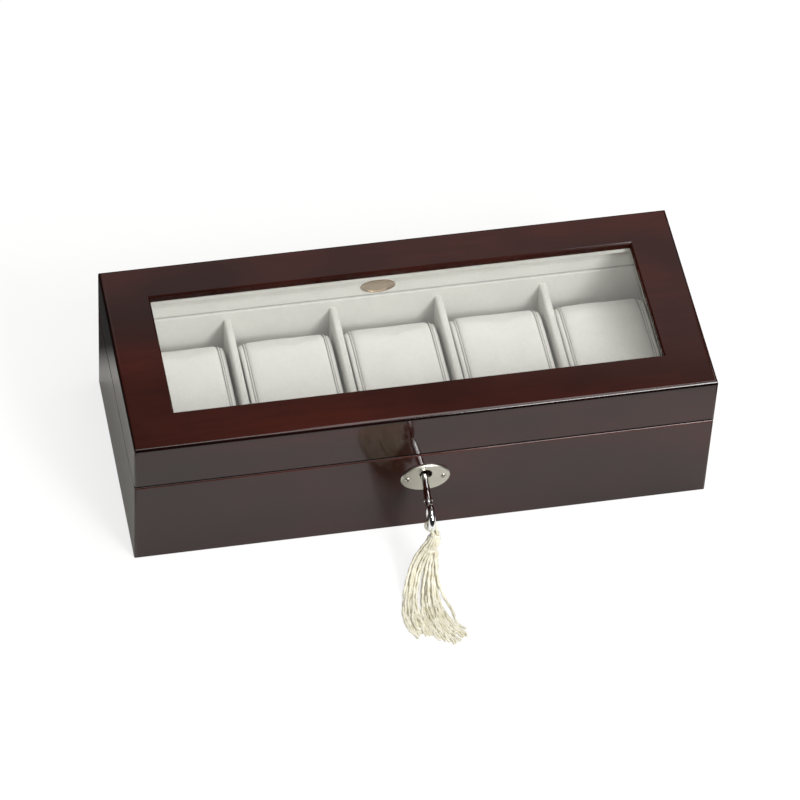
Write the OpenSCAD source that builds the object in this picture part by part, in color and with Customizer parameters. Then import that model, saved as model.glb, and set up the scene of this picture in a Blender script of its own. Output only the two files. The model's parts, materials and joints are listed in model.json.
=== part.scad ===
// Display box for five watches: a lacquered wooden case with a glazed lid on two
// butt hinges, suede linings and dividers, five loose cushions, and a box lock
// with its key and tassel. Millimetres, +X right, +Y to the back, +Z up.
// The origin is the centre of the underside.

/* [Case] */
// Outside length, left to right
case_w = 310; // [260:1:380]
// Outside depth, front to back
case_d = 127; // [112:1:160]
// Height of the base, from the table to the seam
base_h = 57; // [50:0.5:75]
// Height from the base's rim to the top of the lid
lid_h = 30.5; // [26:0.5:42]
// Thickness of the wooden walls
wall = 10; // [8.6:0.1:13]
// Rounding of the upright corners
corner_r = 1.2; // [0.6:0.1:3]
// Rounding of the edges at the seam and the foot
edge_r = 1; // [0.5:0.1:2]
// Rounding of the base's bottom edge
foot_r = 0.4; // [0.2:0.1:2]
// Rounding of the lid's top edge
top_r = 2.3; // [1:0.1:4]
// Space between the closed lid and the base
seam_gap = 0.3; // [0.2:0.05:0.6]
// Thickness of the bottom board
bottom_t = 5.4; // [3:0.1:8]
// Depth of the rebate that holds the bottom board
bottom_rebate = 3; // [2:0.5:5]
// Thickness of the felt under the case
felt_t = 0.4; // [0.3:0.1:2]
// Distance from the felt's edge to the case's outside
felt_inset = 2; // [1:0.5:6]

/* [Lid] */
// Width of the top panel beside the window, at each end
frame_side = 24.4; // [20:0.1:32]
// Width of the top panel in front of the window
frame_front = 23.4; // [20:0.1:32]
// Width of the top panel behind the window
frame_back = 22.2; // [20:0.1:32]
// Depth from the lid's top to the glass
pane_drop = 4.2; // [3:0.1:6]
// Thickness of the glass
pane_t = 2; // [1.5:0.1:3]
// How far the glass reaches under the top panel
pane_seat = 6; // [3:0.5:9]
// Clearance round the edge of the glass
pane_gap = 0.4; // [0.2:0.1:1]
// Thickness of the lined strips that hold the glass
bead_t = 2.2; // [1.5:0.1:3]
// How far the strips stay back from the window's edge
bead_reveal = 0.6; // [0:0.1:2]
// Chamfer on the window's upper rim
rim_chamfer = 0.8; // [0.3:0.1:1.5]

/* [Lining] */
// Thickness of the lined boards on the walls
lining_t = 2.4; // [1.5:0.1:3.5]
// Thickness of the lined board on the floor
floor_lining_t = 2; // [1.5:0.1:3.5]
// Distance from the linings' edges to the seam
lining_drop = 0.5; // [0.2:0.1:2]
// Rounding of a lining's exposed edge
lining_r = 0.9; // [0.3:0.1:1.1]

/* [Compartments] */
// Number of compartments
slots = 5; // [3:1:6]
// Thickness of a divider
divider_t = 4.1; // [3:0.1:6]
// Distance from a divider's top down to the base's rim
divider_drop = 6; // [3:0.5:15]
// Rounding of a divider's top edges
divider_r = 1.5; // [0.5:0.1:1.8]

/* [Cushions] */
// Space between a cushion and the lining at each of its ends
cushion_end_gap = 7.1; // [4:0.1:20]
// Height of a cushion
cushion_h = 38; // [28:1:42]
// Space between a cushion and the divider beside it
cushion_gap = 1.9; // [0.8:0.1:6]
// Squareness of a cushion's ends, from round up
cushion_square = 5; // [2:0.1:8]
// Width of the band outside each seam
cushion_band = 3; // [2:0.1:5]
// Height of the crown across the top panel
cushion_crown = 1.1; // [0.3:0.1:3]
// How far the side panels are drawn in
cushion_draw = 1.8; // [0.5:0.1:3]
// Depth of the groove at each seam
seam_depth = 0.8; // [0.3:0.1:2]

/* [Hinges] */
// Length of a hinge
hinge_len = 32; // [20:1:45]
// Distance from the case's centre to a hinge
hinge_x = 95; // [60:1:110]
// Width of a hinge leaf on the wall
leaf_w = 7.5; // [5:0.5:8]
// Thickness of a hinge leaf
leaf_t = 1.2; // [0.8:0.1:1.8]
// Radius of a hinge knuckle
knuckle_r = 2.2; // [1.8:0.1:3]
// Radius of a hinge pin
hinge_pin_r = 1; // [0.7:0.05:1.2]

/* [Lock] */
// Distance from the base's rim down to the key's axis
key_drop = 15; // [14:0.25:16]
// Depth of the lock, with its back plate
lock_depth = 8; // [7.5:0.1:8.2]
// Half width of the lock's back plate
lock_half_w = 22; // [21:0.5:28]
// Half width of the lock's cap
cap_half_w = 17; // [16.5:0.5:20]
// Height of the lock, from its rim plate down
lock_h = 32; // [29:0.5:36]
// Radius of the turning hub
hub_r = 9.4; // [9.2:0.1:10]
// Thickness of the turning hub
hub_t = 3.2; // [2.4:0.1:3.4]
// Radius from the key's axis to the hub's crank pin
crank_r = 4.2; // [4.1:0.1:4.6]
// Thickness of the bolt
bolt_t = 1.6; // [1.2:0.1:1.8]

/* [Escutcheon] */
// Length of the oval plate round the keyhole
plate_w = 26.5; // [24:0.5:34]
// Height of the oval plate
plate_h = 19.5; // [18.5:0.5:26]
// Thickness of the oval plate
plate_t = 1; // [0.8:0.1:1.6]
// Distance from the key's axis down to the plate's centre
plate_drop = 2.9; // [0:0.1:4]
// Radius of the round part of the keyhole
keyhole_r = 3.5; // [3.4:0.1:4]
// Distance from the plate's centre to each screw
plate_screw_x = 9.5; // [8.5:0.05:10.5]

/* [Key] */
// Radius of the key's shank
shank_r = 2.45; // [1.8:0.05:2.5]
// How much thicker the shank grows from the plate to its collar
shank_swell = 0.3; // [0:0.05:0.8]
// Length of the shank in front of the plate, with its collar
shank_show = 20; // [14:0.5:34]
// Outside radius of the ring-shaped bow
bow_r = 7.6; // [6:0.1:13]
// Radius of the bow's round bar
bow_bar_r = 1.9; // [1.2:0.1:2.2]
// Angle by which the key sits askew in its keyhole
key_yaw = 4.5; // [0:0.5:4.5]
// Radius of the tassel's cord
loop_r = 0.6; // [0.5:0.1:0.8]
// Radius of the tassel's head
tassel_head_r = 3.2; // [2.6:0.1:4.5]

/* [Name plate] */
// Length of the bare oval plate inside the lid
name_w = 19; // [14:0.5:30]
// Height of the bare oval plate
name_h = 9; // [6:0.5:14]
// Distance from the case's centre to the plate, to the right
name_x = -4.9; // [-20:0.1:20]
// Height of the plate's centre above the seam
name_up = 7.6; // [6:0.1:14]

/* [Hidden] */
$fn = 64;
fit = 0.15;
run_fit = 0.06;
sliver = 0.05;

half_w = case_w / 2;
half_d = case_d / 2;
wood_z = felt_t;
floor_z = felt_t + bottom_t;
lined_floor_z = floor_z + floor_lining_t;
in_w = half_w - wall;
in_d = half_d - wall;
clear_w = in_w - lining_t;
clear_d = in_d - lining_t;

lid_z = base_h + seam_gap;
lid_top = base_h + lid_h;
pane_top = lid_top - pane_drop;
deck_z = pane_top - pane_t;
win_w = half_w - frame_side;
win_front = -half_d + frame_front;
win_back = half_d - frame_back;

slot_w = (2 * clear_w - (slots - 1) * divider_t) / slots;
pitch = slot_w + divider_t;
divider_top = base_h - divider_drop;
cushion_w = slot_w - 2 * cushion_gap;
cushion_l = 2 * (clear_d - cushion_end_gap);
cushion_lift = 0.3;

pivot_y = half_d + knuckle_r + 0.3;
pivot_z = base_h + seam_gap / 2;
knuckles = 5;
knuckle_gap = 0.15;
hinge_screw_x = 0.3 * hinge_len;

key_z = base_h - key_drop;
lock_sheet = 1.2;
cap_sheet = 1;
lock_back = -in_d;
lock_plate_y = lock_back - lock_sheet;
cap_y = lock_back - lock_depth;
lock_low = base_h - lock_h;
cap_low = lock_low + 2;
selvedge_z = base_h - lock_sheet;
hub_y = cap_y + cap_sheet + 0.2;
hub_back = hub_y + hub_t;
bolt_y = lock_plate_y - 0.3 - bolt_t;
nose_r = 1.5;
nose_y = lock_back - 0.3;
bit_reach = 8;
bit_w = 1.8;
slot_half = 1.7;
crank_pin_r = 0.8;
crank_x = crank_r * sin(45);
bolt_travel = 2 * crank_x;
talon_half = crank_pin_r + 0.35;
bolt_low = key_z + 2.3;
bolt_top = base_h - 3.9;
hook_z = base_h - 8;
hook_t = 1.6;
finger_tip = 2;
stem_x = finger_tip + bolt_travel + 0.35;
foot_x = stem_x - 3.6;
stem_w = 2.5;
strike_half_w = 18;
strike_t = 1.2;
strike_screw_x = 14;

plate_z = key_z - plate_drop;
key_face = -half_d - plate_t;
plate_screw_l = plate_t + wall - lock_depth - 0.3;
bow_y = key_face - shank_show - 2.2 - bow_r;
bow_ring_r = bow_r - bow_bar_r;
hang = yawed([0, bow_y, key_z - bow_ring_r]);

wood = [0.27, 0.17, 0.15];
suede = [0.84, 0.84, 0.8];
nickel = [0.63, 0.62, 0.58];
steel = [0.55, 0.56, 0.57];
ivory = [0.92, 0.91, 0.8];

// A point of the key, turned with it about the tip of its nose
function yawed(p) =
    let (y = p[1] - nose_y)
    [p[0] * cos(key_yaw) + y * sin(key_yaw),
     nose_y + y * cos(key_yaw) - p[0] * sin(key_yaw), p[2]];

// Points of an ellipse with half lengths a and b
function ellipse(a, b, n = 56) =
    [for (i = [0 : n - 1]) [a * cos(360 * i / n), b * sin(360 * i / n)]];

// Points of a squared oval: power 2 is an ellipse, a higher one is squarer
function soft_oval(a, b, power, n) =
    [for (i = [0 : n - 1])
        let (t = 360 * i / n, c = cos(t), s = sin(t))
        [a * sign(c) * pow(abs(c), 2 / power),
         b * sign(s) * pow(abs(s), 2 / power)]];

function unit(v) = v / norm(v);

// Direction of a route at its point i
function heading(p, i) =
    unit(p[min(i + 1, len(p) - 1)] - p[max(i - 1, 0)]);

// A closed skin over a list of rings that turn the same way about their route
module loft(rings) {
    n = len(rings[0]);
    last = len(rings) - 1;
    middle = function (r) [for (k = [0 : 2]) [for (p = r) p[k]] * [for (p = r) 1] / n];
    points = concat([for (r = rings) for (p = r) p],
                    [middle(rings[0]), middle(rings[last])]);
    start = n * len(rings);
    faces = concat(
        [for (i = [0 : last - 1]) for (j = [0 : n - 1])
            let (k = (j + 1) % n) for (f = [0, 1])
            f == 0 ? [i * n + j, (i + 1) * n + j, (i + 1) * n + k]
                   : [i * n + j, (i + 1) * n + k, i * n + k]],
        [for (j = [0 : n - 1]) [start, j, (j + 1) % n]],
        [for (j = [0 : n - 1])
            [start + 1, last * n + (j + 1) % n, last * n + j]]);
    polyhedron(points, faces, convexity = 6);
}

// A box given by its lowest and highest corners
module block(low, high) {
    translate(low) cube(high - low);
}

// A rod along Y between two depths
module rod_y(x, z, r, y0, y1) {
    translate([x, y1, z]) rotate([90, 0, 0]) cylinder(r = r, h = y1 - y0);
}

// What rounding takes off a square corner that points along (sx, sy)
module corner_waste(x, y, sx, sy, r) {
    difference() {
        translate([x - (sx > 0 ? r : sliver), y - (sy > 0 ? r : sliver)])
            square(r + sliver);
        translate([x - sx * r, y - sy * r]) circle(r);
    }
}

module rounded_rect(w, d, r) {
    square([w - 2 * r, d], center = true);
    square([w, d - 2 * r], center = true);
    for (x = [-1, 1], y = [-1, 1])
        translate([x * (w / 2 - r), y * (d / 2 - r)]) circle(r);
}

// A profile drawn in Y and Z, extruded along X and centred
module along_x(length) {
    rotate([90, 0, 90]) linear_extrude(length, center = true) children();
}

// Turns a piece of the front to side i: 0 front, 1 left, 2 back, 3 right
module to_side(i) {
    rotate([0, 0, [0, -90, 180, 90][i]]) children();
}

function out_of(i) = i % 2 == 0 ? half_d : half_w;
function across(i) = i % 2 == 0 ? half_w : half_d;

// The upright walls' share of the ring at side i, cut by the mitres at 45 degrees
module mitred(i, z0, z1) {
    out = out_of(i);
    reach = across(i);
    intersection() {
        to_side(i) translate([0, 0, z0]) linear_extrude(z1 - z0)
            polygon([[-reach, -out], [reach, -out],
                     [reach - 2 * wall, 2 * wall - out],
                     [2 * wall - reach, 2 * wall - out]]);
        translate([0, 0, z0]) linear_extrude(z1 - z0)
            rounded_rect(case_w, case_d, corner_r);
        to_side(i) along_x(2 * reach) children();
    }
}

// Profile of a base wall, whose outside is at -out
module base_profile(out) {
    difference() {
        translate([-out, wood_z]) square([wall, base_h - wood_z]);
        corner_waste(-out, base_h, -1, 1, edge_r);
        corner_waste(-out, wood_z, -1, -1, foot_r);
        translate([-out + wall - bottom_rebate, wood_z - 1])
            square([bottom_rebate + 1, bottom_t + 1]);
    }
}

module base_wall(i) {
    mitred(i, wood_z, base_h) base_profile(out_of(i));
}

// Profile of a lid wall
module lid_profile(out) {
    difference() {
        translate([-out, lid_z]) square([wall, deck_z - lid_z]);
        corner_waste(-out, lid_z, -1, -1, edge_r);
    }
}

module lid_wall(i) {
    mitred(i, lid_z, deck_z) lid_profile(out_of(i));
}

module base_front_wall() color(wood) difference() {
    base_wall(0);
    block([-cap_half_w - fit, cap_y - fit, cap_low - fit],
          [cap_half_w + fit, lock_back + 1, base_h + 1]);
    block([-lock_half_w - fit, lock_plate_y, lock_low - fit],
          [lock_half_w + fit, lock_back + 1, base_h + 1]);
    block([-lock_half_w - fit, cap_y - fit, selvedge_z],
          [lock_half_w + fit, lock_back + 1, base_h + 1]);
    keyhole_cut(keyhole_r + 0.4, slot_half + 0.4, -half_d - 1, cap_y + 1);
    for (x = [-1, 1]) rod_y(x * plate_screw_x, plate_z, 0.8, -half_d - 1, cap_y + 1);
    for (x = [-1, 1], z = lock_screw_z)
        rod_y(x * lock_screw_x, z, 0.85, lock_back - 6.2, lock_back);
}

module base_left_wall() color(wood) base_wall(1);
module base_right_wall() color(wood) base_wall(3);

module base_back_wall() color(wood) difference() {
    base_wall(2);
    for (s = [-1, 1]) {
        leaf_recess(s, base_h - leaf_t, base_h + 1);
        leaf_screw_holes(s, base_h - 8, base_h);
    }
}

module bottom_board() color([0.45, 0.36, 0.27])
    block([-in_w - bottom_rebate + fit, -in_d - bottom_rebate + fit, wood_z],
          [in_w + bottom_rebate - fit, in_d + bottom_rebate - fit, floor_z]);

module base_felt() color([0.16, 0.14, 0.14])
    linear_extrude(felt_t)
        rounded_rect(case_w - 2 * felt_inset, case_d - 2 * felt_inset, 3);

module floor_lining() color(suede)
    block([-in_w, -in_d, floor_z], [in_w, in_d, lined_floor_z]);

// A lined board on side i of the base, its exposed top edge rounded
module base_lining(i) color(suede) {
    out = out_of(i) - wall;
    top = base_h - lining_drop;
    to_side(i) along_x(2 * (i % 2 == 0 ? in_w : clear_d)) difference() {
        translate([-out, lined_floor_z]) square([lining_t, top - lined_floor_z]);
        corner_waste(-out + lining_t, top, 1, 1, lining_r);
    }
}

module base_lining_front() base_lining(0);
module base_lining_left() base_lining(1);
module base_lining_back() base_lining(2);
module base_lining_right() base_lining(3);

// A lined board on side i of the lid, its exposed lower edge rounded
module lid_lining(i) color(suede) {
    out = out_of(i) - wall;
    low = lid_z + lining_drop;
    to_side(i) along_x(2 * (i % 2 == 0 ? in_w : clear_d)) difference() {
        translate([-out, low]) square([lining_t, deck_z - low]);
        corner_waste(-out + lining_t, low, 1, -1, lining_r);
    }
}

module lid_lining_front() lid_lining(0);
module lid_lining_left() lid_lining(1);
module lid_lining_back() lid_lining(2);
module lid_lining_right() lid_lining(3);

// Board i between two compartments, its top edges rounded
module divider(i) color(suede) {
    x = (i - slots / 2) * pitch;
    translate([x, 0, 0]) rotate([90, 0, 0])
        linear_extrude(2 * clear_d, center = true) difference() {
            translate([-divider_t / 2, lined_floor_z])
                square([divider_t, divider_top - lined_floor_z]);
            for (s = [-1, 1])
                corner_waste(s * divider_t / 2, divider_top, s, 1, divider_r);
        }
}

// A cushion is a loft of squared ovals from its left to its right side: a side
// panel that is drawn in, a band, a seam, then half of the crowned top panel
function half_cushion() =
    let (w = cushion_w / 2, seam = w - cushion_band)
    [[w - cushion_draw, 12],
     [w - 0.75 * cushion_draw, 6.5],
     [w - 0.2 * cushion_draw, 3.2],
     [w, 2 + cushion_crown],
     [w - 0.25 * cushion_band, 0.9 + cushion_crown],
     [w - 0.65 * cushion_band, 0.5 + cushion_crown],
     [seam + 0.15 * cushion_band, 0.3 + cushion_crown + seam_depth / 2],
     [seam, cushion_crown + seam_depth],
     [seam - 0.15 * cushion_band, cushion_crown * 0.9],
     [0.75 * seam, cushion_crown * 0.5],
     [0.4 * seam, cushion_crown * 0.15]];

module cushion(i) color(suede) {
    half = half_cushion();
    last = len(half) - 1;
    stations = concat([for (s = half) [-s[0], s[1]]], [[0, 0]],
                      [for (k = [last : -1 : 0]) half[k]]);
    low = lined_floor_z + cushion_lift;
    translate([(i - (slots + 1) / 2) * pitch, 0, low + cushion_h / 2])
        loft([for (s = stations)
            [for (p = soft_oval(cushion_l / 2 - s[1], cushion_h / 2 - s[1],
                                cushion_square, 40))
                [s[0], p[0], p[1]]]]);
}

module lid_front_wall() color(wood) difference() {
    lid_wall(0);
    block([-strike_half_w - fit, strike_y0 - fit, lid_z - 1],
          [strike_half_w + fit, strike_y1 + fit, lid_z + strike_t]);
    for (x = [-1, 1]) translate([x * strike_screw_x, (strike_y0 + strike_y1) / 2, lid_z])
        cylinder(r = 0.85, h = 8.2);
}

module lid_left_wall() color(wood) lid_wall(1);
module lid_right_wall() color(wood) lid_wall(3);

module lid_back_wall() color(wood) difference() {
    lid_wall(2);
    for (s = [-1, 1]) {
        leaf_recess(s, lid_z - 1, lid_z + leaf_t);
        leaf_screw_holes(s, lid_z, lid_z + 8);
    }
}

// Profile of the top panel from side to side, with both upper edges rounded
module top_profile(width) {
    difference() {
        translate([-width / 2, deck_z]) square([width, lid_top - deck_z]);
        for (s = [-1, 1]) corner_waste(s * width / 2, lid_top, s, 1, top_r);
    }
}

module lid_top_panel() color(wood) difference() {
    intersection() {
        along_x(case_w) top_profile(case_d);
        rotate([90, 0, 0]) linear_extrude(case_d, center = true) top_profile(case_w);
        translate([0, 0, deck_z]) linear_extrude(lid_top - deck_z)
            rounded_rect(case_w, case_d, corner_r);
    }
    block([-win_w, win_front, deck_z - 1], [win_w, win_back, lid_top + 1]);
    block([-win_w - pane_seat, win_front - pane_seat, deck_z - 1],
          [win_w + pane_seat, win_back + pane_seat, pane_top]);
    window_chamfer();
}

// The slope cut round the window's upper rim, carried on above the lid
module window_chamfer() {
    loft([for (up = [-rim_chamfer, 1])
        let (o = up + rim_chamfer, x = win_w + o)
        [[-x, win_front - o, lid_top + up], [x, win_front - o, lid_top + up],
         [x, win_back + o, lid_top + up], [-x, win_back + o, lid_top + up]]]);
}

module glass_pane() color([0.75, 0.82, 0.82, 0.35]) {
    reach = pane_seat - pane_gap;
    block([-win_w - reach, win_front - reach, deck_z],
          [win_w + reach, win_back + reach, pane_top - sliver]);
}

module glass_strip_front() color(suede)
    block([-clear_w, -clear_d, deck_z - bead_t],
          [clear_w, win_front - bead_reveal, deck_z]);

module glass_strip_back() color(suede)
    block([-clear_w, win_back + bead_reveal, deck_z - bead_t],
          [clear_w, clear_d, deck_z]);

module glass_strip_left() color(suede)
    block([-clear_w, win_front - bead_reveal, deck_z - bead_t],
          [-win_w - bead_reveal, win_back + bead_reveal, deck_z]);

module glass_strip_right() color(suede)
    block([win_w + bead_reveal, win_front - bead_reveal, deck_z - bead_t],
          [clear_w, win_back + bead_reveal, deck_z]);

// A bare oval plate with a raised rim, on the lid's back lining
module name_plate() color([0.62, 0.53, 0.42])
    translate([name_x, clear_d, base_h + name_up]) rotate([90, 0, 0]) {
        linear_extrude(0.5) polygon(ellipse(name_w / 2, name_h / 2));
        translate([0, 0, 0.5]) linear_extrude(0.3) difference() {
            polygon(ellipse(name_w / 2, name_h / 2));
            polygon(ellipse(name_w / 2 - 0.7, name_h / 2 - 0.7));
        }
    }

// Hinge leaves: side -1 is the left hinge, 1 is the right
module leaf_recess(side, z0, z1) {
    x = side * hinge_x;
    block([x - hinge_len / 2 - fit, half_d - leaf_w - fit, z0],
          [x + hinge_len / 2 + fit, half_d + 1, z1]);
}

module leaf_screw_holes(side, z0, z1) {
    for (s = [-1, 1])
        translate([side * hinge_x + s * hinge_screw_x, half_d - leaf_w / 2, z0])
            cylinder(r = 0.85, h = z1 - z0);
}

// One leaf with its knuckles, of which it has numbers first, first + 2 and so on;
// z0 is the leaf's lower face, and sink_up says which face the screws enter
module hinge_leaf(side, first, z0, bore, sink_up) {
    step = hinge_len / knuckles;
    length = step - knuckle_gap;
    translate([side * hinge_x, 0, 0]) difference() {
        union() {
            block([-hinge_len / 2, half_d - leaf_w, z0],
                  [hinge_len / 2, half_d, z0 + leaf_t]);
            for (k = [first : 2 : knuckles - 1]) {
                x = -hinge_len / 2 + k * step + knuckle_gap / 2;
                block([x, half_d - 1, z0], [x + length, pivot_y, z0 + leaf_t]);
                translate([x, pivot_y, pivot_z]) rotate([0, 90, 0])
                    cylinder(r = knuckle_r, h = length);
            }
        }
        translate([-hinge_len, pivot_y, pivot_z]) rotate([0, 90, 0])
            cylinder(r = bore, h = 2 * hinge_len);
        for (s = [-1, 1])
            translate([s * hinge_screw_x, half_d - leaf_w / 2, z0])
                countersink(sink_up);
    }
}

// The hole for a countersunk screw through a leaf whose lower face is at 0
module countersink(up) {
    translate([0, 0, -1]) cylinder(r = 0.85, h = leaf_t + 2);
    if (up) translate([0, 0, leaf_t - 0.95]) cylinder(r1 = 0.85, r2 = 1.95, h = 1);
    else translate([0, 0, -0.05]) cylinder(r1 = 1.95, r2 = 0.85, h = 1);
}

module hinge_base_leaf_left() color(nickel)
    hinge_leaf(-1, 0, base_h - leaf_t, hinge_pin_r + 0.02, true);
module hinge_base_leaf_right() color(nickel)
    hinge_leaf(1, 0, base_h - leaf_t, hinge_pin_r + 0.02, true);
module hinge_lid_leaf_left() color(nickel)
    hinge_leaf(-1, 1, lid_z, hinge_pin_r + run_fit, false);
module hinge_lid_leaf_right() color(nickel)
    hinge_leaf(1, 1, lid_z, hinge_pin_r + run_fit, false);

module hinge_pin(side) color(steel)
    translate([side * hinge_x - hinge_len / 2 - 0.5, pivot_y, pivot_z])
        rotate([0, 90, 0]) {
            cylinder(r = hinge_pin_r, h = hinge_len + 1);
            for (z = [-0.7, hinge_len + 1]) translate([0, 0, z])
                cylinder(r = hinge_pin_r + 0.5, h = 0.7);
        }

module hinge_pin_left() hinge_pin(-1);
module hinge_pin_right() hinge_pin(1);

// A countersunk wood screw, its flat head's top at 0 and its point down
module flat_screw(length) {
    difference() {
        translate([0, 0, -0.9]) cylinder(r1 = 0.8, r2 = 1.8, h = 0.9);
        for (a = [0, 90]) rotate([0, 0, a])
            translate([-1.1, -0.2, -0.4]) cube([2.2, 0.4, 1]);
    }
    translate([0, 0, -length + 1]) cylinder(r = 0.75, h = length - 1.9);
    translate([0, 0, -length]) cylinder(r1 = 0.1, r2 = 0.75, h = 1);
}

module hinge_base_screws() color(steel)
    for (side = [-1, 1], s = [-1, 1])
        translate([side * hinge_x + s * hinge_screw_x, half_d - leaf_w / 2, base_h])
            flat_screw(7.5);

module hinge_lid_screws() color(steel)
    for (side = [-1, 1], s = [-1, 1])
        translate([side * hinge_x + s * hinge_screw_x, half_d - leaf_w / 2, lid_z])
            rotate([180, 0, 0]) flat_screw(7.5);

// Keyhole: a round hole on the key's axis over a slot that flares at its foot
module keyhole_cut(r, half, y0, y1) {
    foot = bit_reach + 1;
    rod_y(0, key_z, r, y0, y1);
    translate([0, y1, key_z]) rotate([90, 0, 0]) linear_extrude(y1 - y0)
        polygon([[-half, 0], [-half, -foot + 2], [-half - 0.3, -foot],
                 [half + 0.3, -foot], [half, -foot + 2], [half, 0]]);
}

lock_screw_x = lock_half_w - 2.4;
lock_screw_z = [lock_low + 4, base_h - 5];

// Back plate of the lock with the rim plate bent from it, and the bolt's guides
module lock_plate() color(nickel) difference() {
    union() {
        block([-lock_half_w, lock_plate_y, lock_low], [lock_half_w, lock_back, base_h]);
        block([-lock_half_w, cap_y, selvedge_z], [lock_half_w, lock_back, base_h]);
        block([-cap_half_w + 2, bolt_y, bolt_low - 1.9],
              [-crank_x - 3, lock_plate_y + 0.5, bolt_low - 0.3]);
        block([-cap_half_w + 2, bolt_y, bolt_top + 0.3],
              [-1, lock_plate_y + 0.5, selvedge_z]);
    }
    rod_y(0, key_z, nose_r + 0.4, lock_plate_y - 1, lock_back + 1);
    block([foot_x - 0.5, bolt_y - 0.5, selvedge_z - 1],
          [stem_x + stem_w + 0.5, lock_plate_y, base_h + 1]);
    for (x = [-1, 1], z = lock_screw_z) {
        rod_y(x * lock_screw_x, z, 0.85, lock_plate_y - 1, lock_back + 1);
        translate([x * lock_screw_x, lock_back + 0.05, z]) rotate([90, 0, 0])
            cylinder(r1 = 1.95, r2 = 0.85, h = 1);
    }
}

// Cap of the lock, open to its back plate, with the ring that carries the hub
module lock_cap() color(steel) difference() {
    union() {
        difference() {
            block([-cap_half_w, cap_y, cap_low], [cap_half_w, lock_plate_y, selvedge_z]);
            block([-cap_half_w + cap_sheet, cap_y + cap_sheet, cap_low + cap_sheet],
                  [cap_half_w - cap_sheet, lock_plate_y + 1, selvedge_z + 1]);
        }
        rod_y(0, key_z, hub_r + run_fit + 1.2, cap_y + 0.5, hub_back - 0.5);
    }
    rod_y(0, key_z, hub_r + run_fit, cap_y + cap_sheet, hub_back + 1);
    keyhole_cut(keyhole_r, slot_half, cap_y - 1, cap_y + cap_sheet + 1);
}

// The hub that the key's bit turns, with the crank pin that drives the bolt
module lock_hub() color([0.72, 0.6, 0.33]) {
    difference() {
        rod_y(0, key_z, hub_r, hub_y, hub_back);
        rod_y(0, key_z, shank_r + 0.7, hub_y - 1, hub_back + 1);
        block([-slot_half + 0.1, hub_y - 1, key_z - bit_reach - 0.4],
              [slot_half - 0.1, hub_back + 1, key_z]);
    }
    rod_y(-crank_x, key_z + crank_x, crank_pin_r, hub_back - 0.5, bolt_y + bolt_t - 0.2);
}

// The sliding bolt: a notch for the crank pin below, and the finger that locks
module lock_bolt() color(nickel)
    translate([0, bolt_y + bolt_t, 0]) rotate([90, 0, 0]) linear_extrude(bolt_t)
        polygon([[-13, bolt_low], [-crank_x - talon_half, bolt_low],
                 [-crank_x - talon_half, key_z + 5.5],
                 [-crank_x + talon_half, key_z + 5.5],
                 [-crank_x + talon_half, bolt_low], [0.6, bolt_low],
                 [0.6, hook_z - 0.5], [foot_x - bolt_travel - 0.45, hook_z - 0.5],
                 [foot_x - bolt_travel - 0.45, hook_z + 1.9],
                 [finger_tip, hook_z + 1.9], [finger_tip, bolt_top],
                 [-13, bolt_top]]);

module lock_screws() color(steel)
    for (x = [-1, 1], z = lock_screw_z)
        translate([x * lock_screw_x, lock_back, z]) rotate([-90, 0, 0])
            flat_screw(6);

// Strike plate under the lid's front wall, with the hook that the bolt catches
strike_y0 = cap_y;
strike_y1 = lock_plate_y - 0.1;
module strike_plate() color(nickel) difference() {
    union() {
        block([-strike_half_w, strike_y0, lid_z],
              [strike_half_w, strike_y1, lid_z + strike_t]);
        block([stem_x, bolt_y, hook_z], [stem_x + stem_w, bolt_y + hook_t, lid_z + 0.5]);
        block([foot_x, bolt_y, hook_z], [stem_x + 1, bolt_y + hook_t, hook_z + 1.6]);
    }
    for (x = [-1, 1])
        translate([x * strike_screw_x, (strike_y0 + strike_y1) / 2, lid_z]) {
            translate([0, 0, -1]) cylinder(r = 0.85, h = 4);
            translate([0, 0, -0.05]) cylinder(r1 = 1.95, r2 = 0.85, h = 1);
        }
}

module strike_screws() color(steel)
    for (x = [-1, 1])
        translate([x * strike_screw_x, (strike_y0 + strike_y1) / 2, lid_z])
            rotate([180, 0, 0]) flat_screw(7.5);

// Oval plate round the keyhole: a flat edge, a bevel, and holes for two screws
module escutcheon() color(nickel) difference() {
    translate([0, -half_d, plate_z]) rotate([90, 0, 0])
        loft([for (s = [[0, 0], [0.5 * plate_t, 0], [plate_t, 0.5]])
            [for (p = ellipse(plate_w / 2 - s[1], plate_h / 2 - s[1]))
                [p[0], p[1], s[0]]]]);
    keyhole_cut(keyhole_r, slot_half, key_face - 1, -half_d + 1);
    for (x = [-1, 1]) rod_y(x * plate_screw_x, plate_z, 0.8, key_face - 1, -half_d + 1);
}

// Two small round-headed screws with crossed slots
module escutcheon_screws() color(nickel)
    for (x = [-1, 1]) translate([x * plate_screw_x, key_face, plate_z])
        rotate([90, 0, 0]) difference() {
            union() {
                rotate_extrude() intersection() {
                    translate([0, -1.2]) circle(2);
                    square([1.65, 1]);
                }
                translate([0, 0, -plate_screw_l])
                    cylinder(r = 0.7, h = plate_screw_l + 0.3);
            }
            for (a = [45, 135]) rotate([0, 0, a])
                translate([-0.9, -0.18, 0.35]) cube([1.8, 0.36, 1]);
        }

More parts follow.
